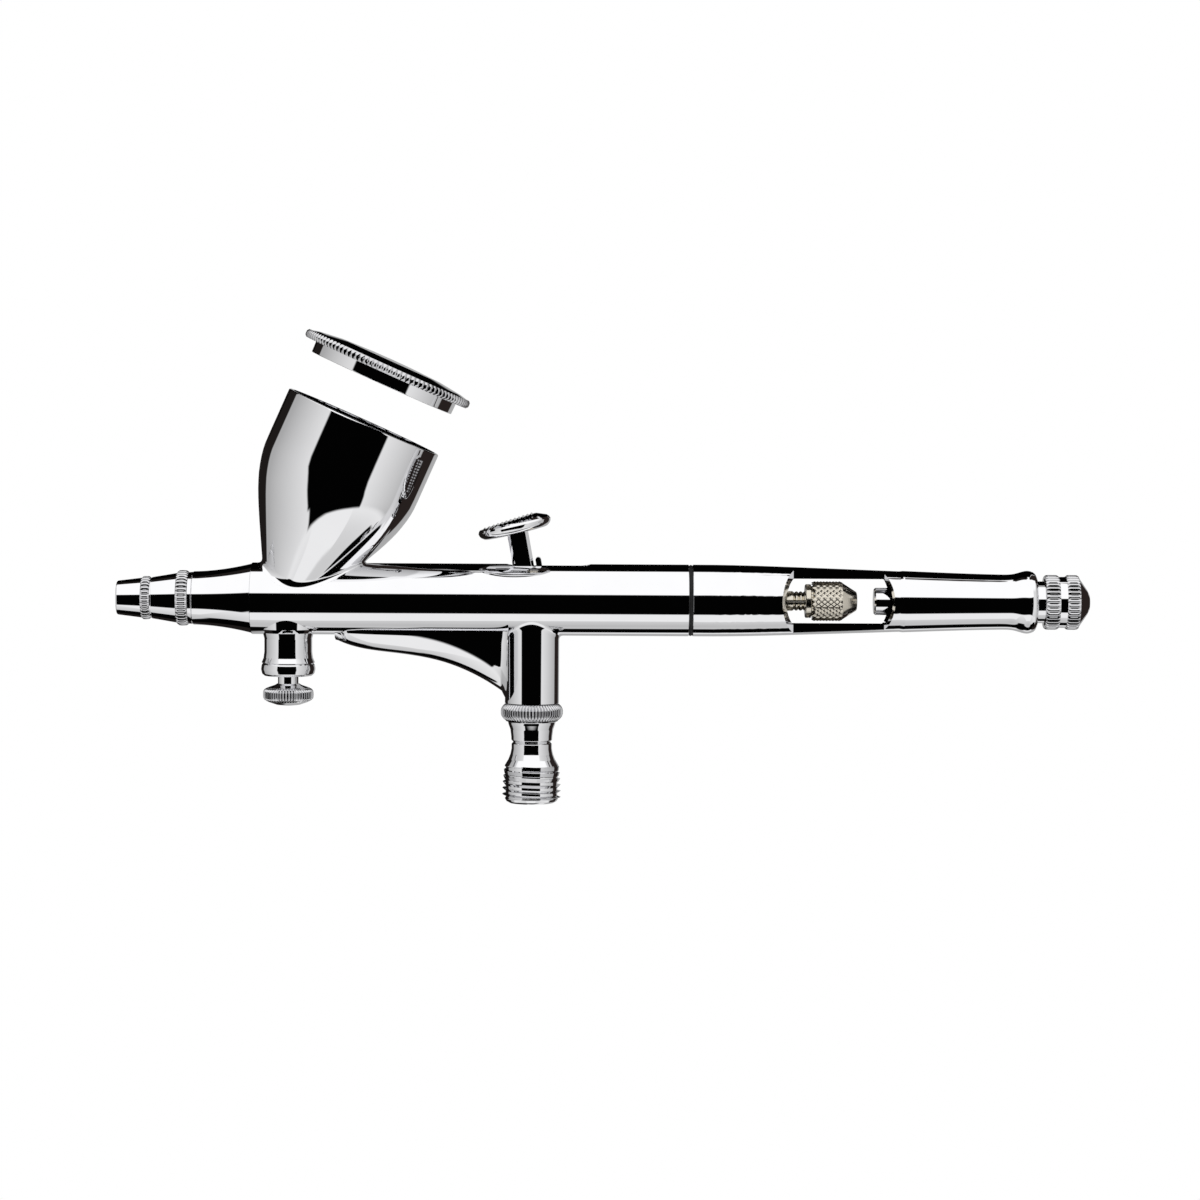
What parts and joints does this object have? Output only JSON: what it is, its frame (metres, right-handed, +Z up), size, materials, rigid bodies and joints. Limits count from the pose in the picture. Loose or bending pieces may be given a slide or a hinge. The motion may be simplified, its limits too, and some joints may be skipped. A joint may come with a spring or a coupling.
{
  "type": "airbrush gun",
  "caption": "Gravity-feed double-action airbrush gun with tilted paint cup and lid, trigger, needle, preset screw, air control valve and hose thread.",
  "frame": {"origin": "centre of the hose thread's lowest crest, on the axis of the air valve tower", "axes": "+X along the spray axis from nozzle towards the handle, +Z up along the tower towards the barrel, nozzle at -X"},
  "size_m": [0.1609, 0.0294, 0.078],
  "materials": {
    "chrome": "mirror-polished chrome plate on brass",
    "chrome_knurl": "knurled, serrated or threaded chrome-plated brass",
    "nickel": "nickel-plated brass, warm grey, knurled",
    "brass": "bare turned brass",
    "needle_steel": "polished stainless steel",
    "nickel_silver": "turned nickel silver",
    "spring_steel": "drawn spring wire",
    "ptfe": "turned white fluoropolymer",
    "nitrile": "moulded black rubber"
  },
  "bodies": {
    "gun_body": {"body_barrel": "chrome", "paint_cup": "chrome", "spray_head": "chrome", "head_seal": "ptfe", "nozzle": "nickel_silver", "nozzle_cap": "chrome_knurl", "needle_cap": "chrome_knurl", "needle_packing": "ptfe", "packing_screw": "brass", "spring_case": "chrome", "needle_spring": "spring_steel", "handle": "chrome", "valve_housing": "chrome_knurl", "valve_spring": "spring_steel", "valve_screw": "brass", "hose_nipple": "chrome_knurl", "mac_collar": "chrome", "mac_seal": "nitrile"},
    "lid": {"cup_lid": "chrome_knurl"},
    "piston": {"valve_piston": "brass", "piston_o_ring": "nitrile", "air_valve": "brass", "valve_seal": "nitrile", "trigger_pin": "needle_steel"},
    "trigger": {"trigger": "chrome_knurl"},
    "needle_carriage": {"spring_guide": "nickel", "needle": "needle_steel", "lever_pin": "needle_steel"},
    "lever": {"aux_lever": "chrome"},
    "chuck": {"chuck_nut": "nickel"},
    "stop_screw": {"preset_rod": "chrome", "preset_o_ring": "nitrile"},
    "stop_knob": {"preset_knob": "chrome_knurl"},
    "mac_needle": {"mac_pin": "chrome"},
    "mac_turner": {"mac_knob": "chrome_knurl"}
  },
  "joints": [
    {"name": "lid_lift", "type": "slide", "parent": "gun_body", "child": "lid", "axis": [0.4067, 0, 0.9135], "range_m": [-0.0085, 0.012]},
    {"name": "air_press", "type": "slide", "parent": "gun_body", "child": "piston", "axis": [0, 0, -1], "range_m": [0, 0.002], "stiffness_N_per_m": 900, "springref_m": -0.004, "deforming": ["valve_spring"]},
    {"name": "trigger_pull", "type": "hinge", "parent": "piston", "child": "trigger", "pos_m": [0, 0, 0.0306], "axis": [0, 1, 0], "range_deg": [0, 25]},
    {"name": "needle_travel", "type": "slide", "parent": "gun_body", "child": "needle_carriage", "axis": [1, 0, 0], "range_m": [0, 0.0025], "stiffness_N_per_m": 200, "springref_m": -0.006, "deforming": ["needle_spring"]},
    {"name": "lever_rock", "type": "hinge", "parent": "needle_carriage", "child": "lever", "pos_m": [0.00191, 0, 0.0354], "axis": [0, 1, 0], "range_deg": [0, 25]},
    {"name": "chuck_turn", "type": "hinge", "parent": "needle_carriage", "child": "chuck", "pos_m": [0.045, 0, 0.0332], "axis": [1, 0, 0], "range_deg": [0, 180]},
    {"name": "preset_turn", "type": "hinge", "parent": "stop_screw", "child": "stop_knob", "pos_m": [0.085, 0, 0.0332], "axis": [1, 0, 0], "range_deg": [0, 1440]},
    {"name": "preset_travel", "type": "slide", "parent": "gun_body", "child": "stop_screw", "axis": [1, 0, 0], "range_m": [0, 0.003]},
    {"name": "mac_turn", "type": "hinge", "parent": "mac_needle", "child": "mac_turner", "pos_m": [-0.0404, 0, 0.0187], "axis": [0, 0, -1], "range_deg": [0, 1080]},
    {"name": "mac_travel", "type": "slide", "parent": "gun_body", "child": "mac_needle", "axis": [0, 0, -1], "range_m": [0, 0.0015]}
  ],
  "couplings": [
    {"joint": "trigger_pull", "follows": "needle_travel", "rad_per_m": 174.51},
    {"joint": "lever_rock", "follows": "needle_travel", "rad_per_m": 174.51},
    {"joint": "preset_turn", "follows": "preset_travel", "rad_per_m": 8377.5},
    {"joint": "mac_turn", "follows": "mac_travel", "rad_per_m": 12566}
  ]
}
